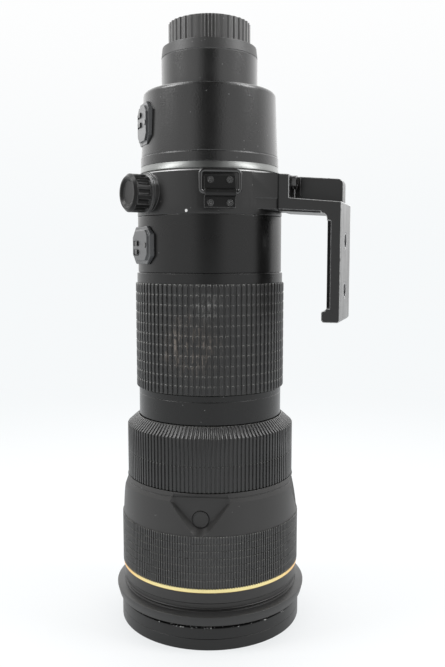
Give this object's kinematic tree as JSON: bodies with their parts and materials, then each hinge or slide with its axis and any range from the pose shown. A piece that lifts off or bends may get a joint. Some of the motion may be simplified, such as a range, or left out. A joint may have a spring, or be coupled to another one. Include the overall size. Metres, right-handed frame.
{
  "type": "super telephoto zoom lens",
  "caption": "Long telephoto zoom lens with ribbed grip rings, a turning tripod collar with a dovetail foot, strap loops, switch panels, a drop-in filter drawer and a rear cap.",
  "frame": {"origin": "centre of the front rim's plane, on the lens axis, where the lens stands on its front rim", "axes": "+Z along the lens axis towards the camera mount, +X towards the tripod foot, +Y to the filter drawer"},
  "size_m": [0.1495, 0.124, 0.3805],
  "materials": {
    "black_metal": "satin black paint",
    "foot_metal": "worn satin black paint",
    "gold_paint": "semi gloss",
    "rubber": "matte",
    "black_plastic": "matte",
    "cap_plastic": "matte",
    "grey_panel": "satin",
    "satin_silver": "satin anodised",
    "steel": "brushed",
    "dark_steel": "worn black",
    "dark_screw": "black oxide",
    "blade": "matte",
    "cam_brass": "machined",
    "motor": "varnished winding",
    "board": "coated",
    "glass": "coated"
  },
  "bodies": {
    "barrel": {"front_rim": "black_metal", "hood_stop": "black_metal", "front_barrel": "black_metal", "gold_ring": "gold_paint", "front_grip": "rubber", "front_cell": "black_plastic", "front_elements": "glass", "focus_motor": "motor", "middle_barrel": "black_metal", "guide_tube": "steel", "iris_housing": "black_plastic", "iris_blades": "blade", "shake_housing": "black_plastic", "relay_cell": "black_plastic", "relay_elements": "glass", "rear_barrel": "black_metal", "silver_bevel_ring": "satin_silver", "mount_housing": "black_metal", "bayonet_mount": "steel", "contact_block": "black_plastic", "upper_switch_panel": "grey_panel", "lower_switch_panel": "grey_panel", "body_screws": "dark_screw", "circuit_board": "board"},
    "focus_control": {"focus_ring": "black_metal", "focus_grip": "rubber", "focus_rotor": "steel"},
    "focus_group": {"focus_cell": "black_plastic", "focus_elements": "glass"},
    "zoom_control": {"zoom_ring": "black_metal", "zoom_grip": "rubber", "zoom_cam_tube": "cam_brass"},
    "variator": {"variator_cell": "black_plastic", "variator_elements": "glass"},
    "compensator": {"compensator_cell": "black_plastic", "compensator_elements": "glass"},
    "aperture_drive": {"iris_drive": "steel"},
    "shake_frame": {"shake_carrier": "steel"},
    "shake_group": {"shake_cell": "black_plastic", "shake_elements": "glass"},
    "collar": {"tripod_collar": "black_metal", "tripod_foot": "foot_metal", "strap_plates": "black_metal", "collar_screws": "dark_screw"},
    "collar_knob": {"collar_knob": "black_plastic"},
    "strap_loop_near": {"strap_loop_near": "dark_steel"},
    "strap_loop_far": {"strap_loop_far": "dark_steel"},
    "function_button_1": {"function_button_1": "black_plastic"},
    "function_button_2": {"function_button_2": "black_plastic"},
    "function_button_3": {"function_button_3": "black_plastic"},
    "function_button_4": {"function_button_4": "black_plastic"},
    "filter_drawer": {"filter_drawer": "black_plastic", "drop_in_filter": "glass"},
    "filter_lock": {"filter_lock_knob": "black_plastic"},
    "rear_cap": {"rear_cap": "cap_plastic"},
    "focus_mode_switch": {"focus_mode_switch": "black_plastic"},
    "focus_limit_switch": {"focus_limit_switch": "black_plastic"},
    "shake_switch": {"shake_switch": "black_plastic"},
    "shake_mode_switch": {"shake_mode_switch": "black_plastic"}
  },
  "joints": [
    {"name": "focus_turn", "type": "hinge", "parent": "barrel", "child": "focus_control", "pos_m": [0, 0, 0.115], "axis": [0, 0, 1], "range_deg": [0, 160]},
    {"name": "focus_slide", "type": "slide", "parent": "barrel", "child": "focus_group", "axis": [0, 0, 1], "range_m": [0, 0.01]},
    {"name": "zoom_turn", "type": "hinge", "parent": "barrel", "child": "zoom_control", "pos_m": [0, 0, 0.19], "axis": [0, 0, 1], "range_deg": [0, 85]},
    {"name": "variator_slide", "type": "slide", "parent": "barrel", "child": "variator", "axis": [0, 0, 1], "range_m": [0, 0.034]},
    {"name": "compensator_slide", "type": "slide", "parent": "barrel", "child": "compensator", "axis": [0, 0, 1], "range_m": [-0.014, 0]},
    {"name": "aperture_turn", "type": "hinge", "parent": "barrel", "child": "aperture_drive", "pos_m": [0, 0, 0.25], "axis": [0, 0, 1], "range_deg": [0, 40], "stiffness_Nm_per_rad": 0.02},
    {"name": "shake_x", "type": "slide", "parent": "barrel", "child": "shake_frame", "axis": [1, 0, 0], "range_m": [-0.0008, 0.0008], "stiffness_N_per_m": 200},
    {"name": "shake_y", "type": "slide", "parent": "shake_frame", "child": "shake_group", "axis": [0, 1, 0], "range_m": [-0.0008, 0.0008], "stiffness_N_per_m": 200},
    {"name": "collar_turn", "type": "hinge", "parent": "barrel", "child": "collar", "pos_m": [0, 0, 0.274], "axis": [0, 0, 1], "continuous": true},
    {"name": "knob_turn", "type": "hinge", "parent": "collar", "child": "collar_knob", "pos_m": [-0.03147, -0.03886, 0.274], "axis": [-0.6293, -0.7771, 0], "range_deg": [0, 270]},
    {"name": "strap_loop_near_turn", "type": "hinge", "parent": "collar", "child": "strap_loop_near", "pos_m": [0.02116, -0.04397, 0.2729], "axis": [0.9011, 0.4337, 0], "range_deg": [0, 175]},
    {"name": "strap_loop_far_turn", "type": "hinge", "parent": "collar", "child": "strap_loop_far", "pos_m": [0.02116, 0.04397, 0.2729], "axis": [-0.9011, 0.4337, 0], "range_deg": [0, 175]},
    {"name": "function_button_1_press", "type": "slide", "parent": "barrel", "child": "function_button_1", "axis": [-0.2079, 0.9781, 0], "range_m": [0, 0.0008], "stiffness_N_per_m": 600},
    {"name": "function_button_2_press", "type": "slide", "parent": "barrel", "child": "function_button_2", "axis": [-0.9781, -0.2079, 0], "range_m": [0, 0.0008], "stiffness_N_per_m": 600},
    {"name": "function_button_3_press", "type": "slide", "parent": "barrel", "child": "function_button_3", "axis": [0.2079, -0.9781, 0], "range_m": [0, 0.0008], "stiffness_N_per_m": 600},
    {"name": "function_button_4_press", "type": "slide", "parent": "barrel", "child": "function_button_4", "axis": [0.9781, 0.2079, 0], "range_m": [0, 0.0008], "stiffness_N_per_m": 600},
    {"name": "filter_drawer_slide", "type": "slide", "parent": "barrel", "child": "filter_drawer", "axis": [0, 1, 0], "range_m": [0, 0.075]},
    {"name": "filter_lock_turn", "type": "hinge", "parent": "filter_drawer", "child": "filter_lock", "pos_m": [0, 0.043, 0.311], "axis": [0, 1, 0], "range_deg": [0, 90]},
    {"name": "rear_cap_pull", "type": "slide", "parent": "barrel", "child": "rear_cap", "axis": [0, 0, 1], "range_m": [0, 0.02]},
    {"name": "focus_mode_switch_slide", "type": "slide", "parent": "barrel", "child": "focus_mode_switch", "axis": [-0.6088, 0.7934, 0], "range_m": [0, 0.0046]},
    {"name": "focus_limit_switch_slide", "type": "slide", "parent": "barrel", "child": "focus_limit_switch", "axis": [-0.6088, 0.7934, 0], "range_m": [0, 0.0046]},
    {"name": "shake_switch_slide", "type": "slide", "parent": "barrel", "child": "shake_switch", "axis": [-0.682, 0.7314, 0], "range_m": [0, 0.0046]},
    {"name": "shake_mode_switch_slide", "type": "slide", "parent": "barrel", "child": "shake_mode_switch", "axis": [-0.682, 0.7314, 0], "range_m": [0, 0.0046]}
  ],
  "couplings": [
    {"joint": "focus_slide", "follows": "focus_turn", "m_per_rad": 0.00358},
    {"joint": "variator_slide", "follows": "zoom_turn", "m_per_rad": 0.022918},
    {"joint": "compensator_slide", "follows": "zoom_turn", "m_per_rad": -0.009436}
  ]
}
